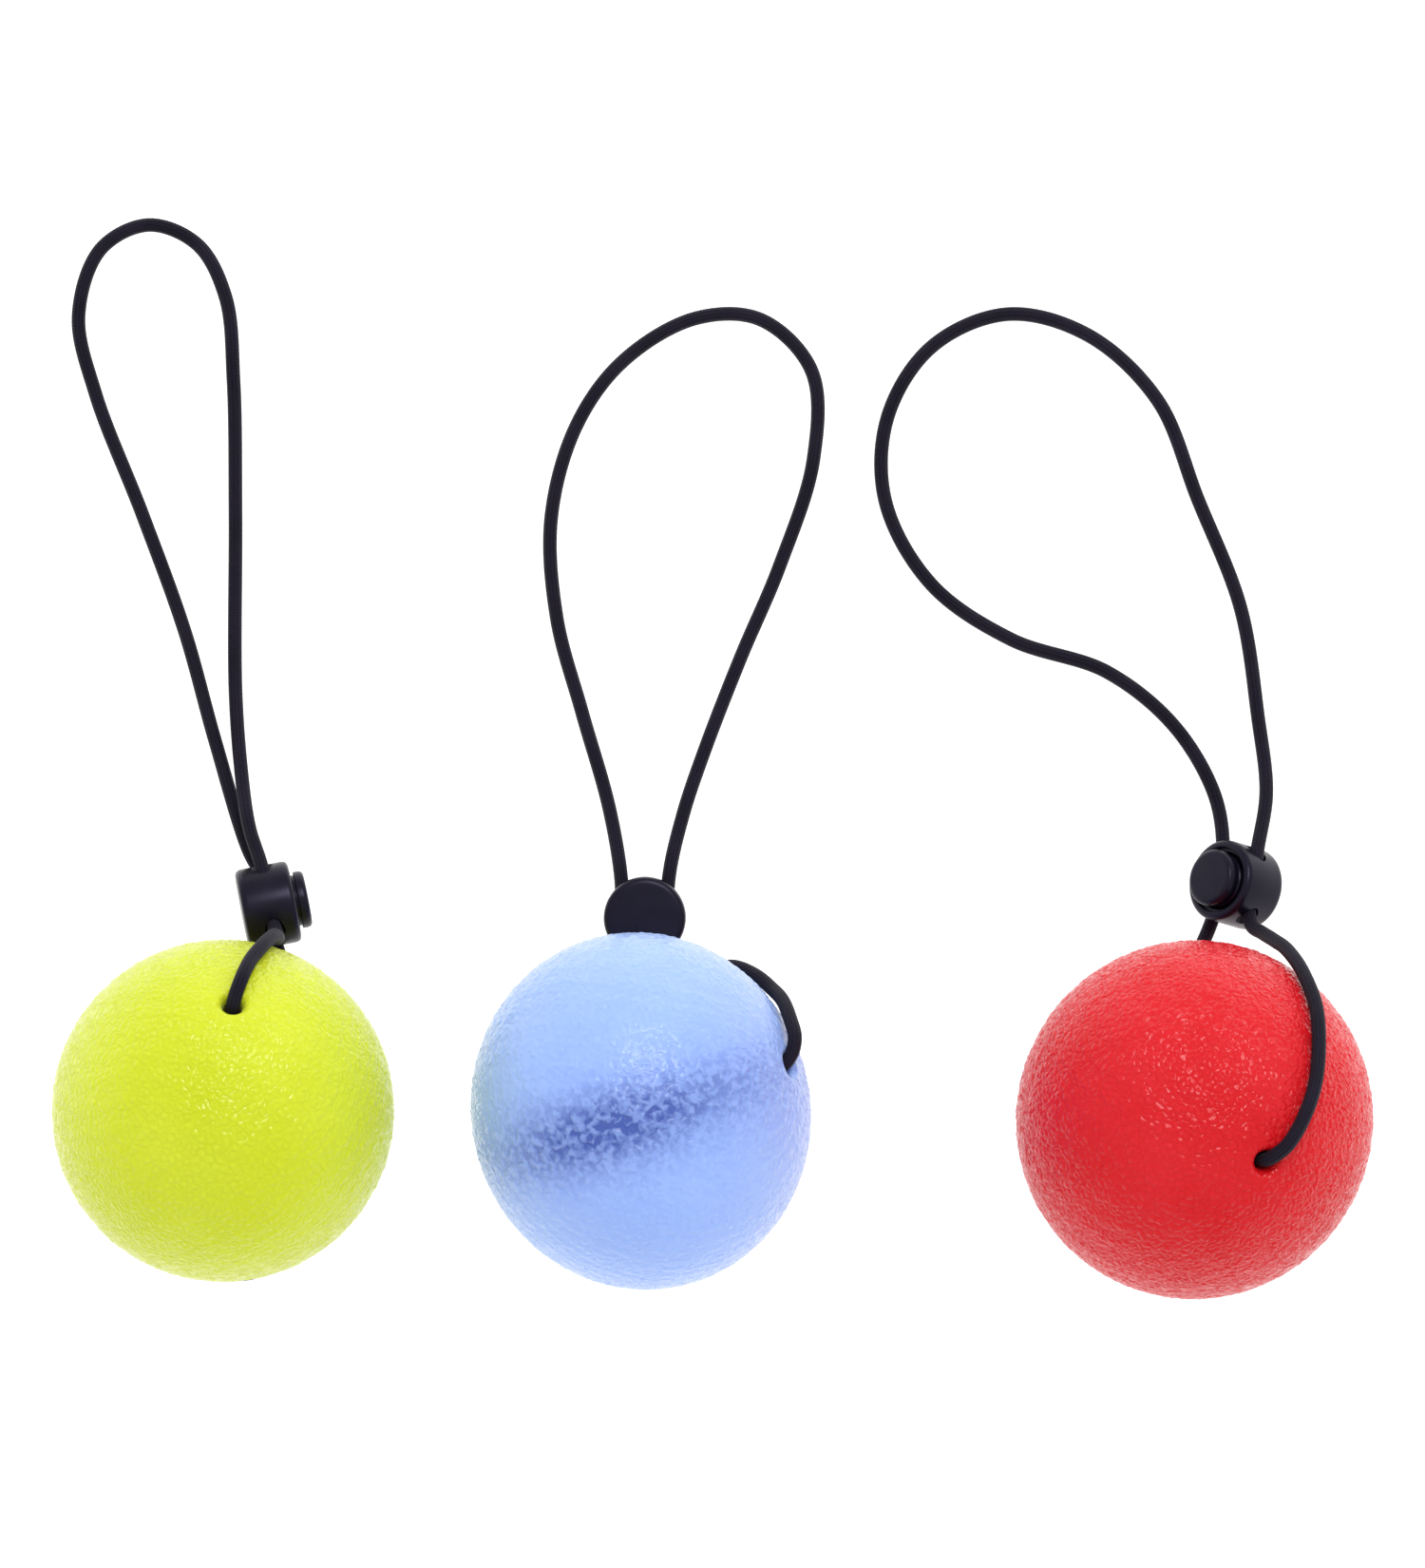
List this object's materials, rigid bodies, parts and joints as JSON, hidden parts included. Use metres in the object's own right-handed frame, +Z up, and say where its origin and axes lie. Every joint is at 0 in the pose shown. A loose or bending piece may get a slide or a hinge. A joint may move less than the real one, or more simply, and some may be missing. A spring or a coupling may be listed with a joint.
{
  "type": "gel hand ball set with cord loops",
  "caption": "Soft gel hand balls lying in a row, each threaded on its own loop of round elastic cord with a spring cord lock beside the ball.",
  "frame": {"origin": "middle of the footprint of the balls and locks, on the surface the set lies on", "axes": "+X along the row of balls from the yellow one to the red one, +Y from the balls towards the ends of the loops, +Z up"},
  "size_m": [0.193, 0.1595, 0.0516],
  "materials": {
    "yellow_gel": "translucent yellow-green gel with a fine pebbled skin",
    "blue_gel": "translucent light blue gel with a fine pebbled skin",
    "red_gel": "translucent red gel with a fine pebbled skin",
    "woven_elastic": "black woven cover over a rubber core",
    "black_plastic": "black injection-moulded acetal, satin gloss",
    "spring_steel": "bright drawn spring wire",
    "sleeve_metal": "tinned crimp sleeve"
  },
  "bodies": {
    "blue_strap": {"blue_cord": "woven_elastic", "blue_cord_sleeve": "sleeve_metal"},
    "blue_ball": {"blue_ball": "blue_gel"},
    "blue_lock": {"blue_lock_barrel": "black_plastic", "blue_lock_spring": "spring_steel"},
    "blue_button": {"blue_lock_plunger": "black_plastic"},
    "yellow_strap": {"yellow_cord": "woven_elastic", "yellow_cord_sleeve": "sleeve_metal"},
    "yellow_ball": {"yellow_ball": "yellow_gel"},
    "yellow_lock": {"yellow_lock_barrel": "black_plastic", "yellow_lock_spring": "spring_steel"},
    "yellow_button": {"yellow_lock_plunger": "black_plastic"},
    "red_strap": {"red_cord": "woven_elastic", "red_cord_sleeve": "sleeve_metal"},
    "red_ball": {"red_ball": "red_gel"},
    "red_lock": {"red_lock_barrel": "black_plastic", "red_lock_spring": "spring_steel"},
    "red_button": {"red_lock_plunger": "black_plastic"}
  },
  "joints": [
    {"name": "blue_ball_spin", "type": "hinge", "parent": "blue_strap", "child": "blue_ball", "pos_m": [-0.0106, -0.006, 0.0256], "axis": [0.8886, 0.2902, 0.3552], "continuous": true},
    {"name": "blue_lock_slide", "type": "slide", "parent": "blue_strap", "child": "blue_lock", "axis": [0, 1, 0], "range_m": [0, 0.025], "deforming": ["blue_cord"]},
    {"name": "blue_button_press", "type": "slide", "parent": "blue_lock", "child": "blue_button", "axis": [0, 0, -1], "range_m": [-0.0012, 0], "stiffness_N_per_m": 1500, "springref_m": 0.001, "deforming": ["blue_lock_spring"]},
    {"name": "yellow_lift", "type": "slide", "parent": "blue_strap", "child": "yellow_strap", "axis": [0, 0, 1], "range_m": [0, 0.08]},
    {"name": "yellow_ball_spin", "type": "hinge", "parent": "yellow_strap", "child": "yellow_ball", "pos_m": [-0.0717, -0.006, 0.0246], "axis": [0.1003, 0.6516, 0.7519], "continuous": true},
    {"name": "yellow_lock_slide", "type": "slide", "parent": "yellow_strap", "child": "yellow_lock", "axis": [-0.2599, 0.9656, 0], "range_m": [0, 0.025], "deforming": ["yellow_cord"]},
    {"name": "yellow_button_press", "type": "slide", "parent": "yellow_lock", "child": "yellow_button", "axis": [0.9786, 0.1897, -0.0799], "range_m": [-0.0012, 0], "stiffness_N_per_m": 1500, "springref_m": 0.001, "deforming": ["yellow_lock_spring"]},
    {"name": "red_lift", "type": "slide", "parent": "blue_strap", "child": "red_strap", "axis": [0, 0, 1], "range_m": [0, 0.08]},
    {"name": "red_ball_spin", "type": "hinge", "parent": "red_strap", "child": "red_ball", "pos_m": [0.0703, -0.0073, 0.0248], "axis": [0.3597, -0.2098, 0.9092], "continuous": true},
    {"name": "red_lock_slide", "type": "slide", "parent": "red_strap", "child": "red_lock", "axis": [-0.12, 0.9928, 0], "range_m": [0, 0.025], "deforming": ["red_cord"]},
    {"name": "red_button_press", "type": "slide", "parent": "red_lock", "child": "red_button", "axis": [-0.711, 0.2103, 0.671], "range_m": [-0.0012, 0], "stiffness_N_per_m": 1500, "springref_m": 0.001, "deforming": ["red_lock_spring"]}
  ]
}
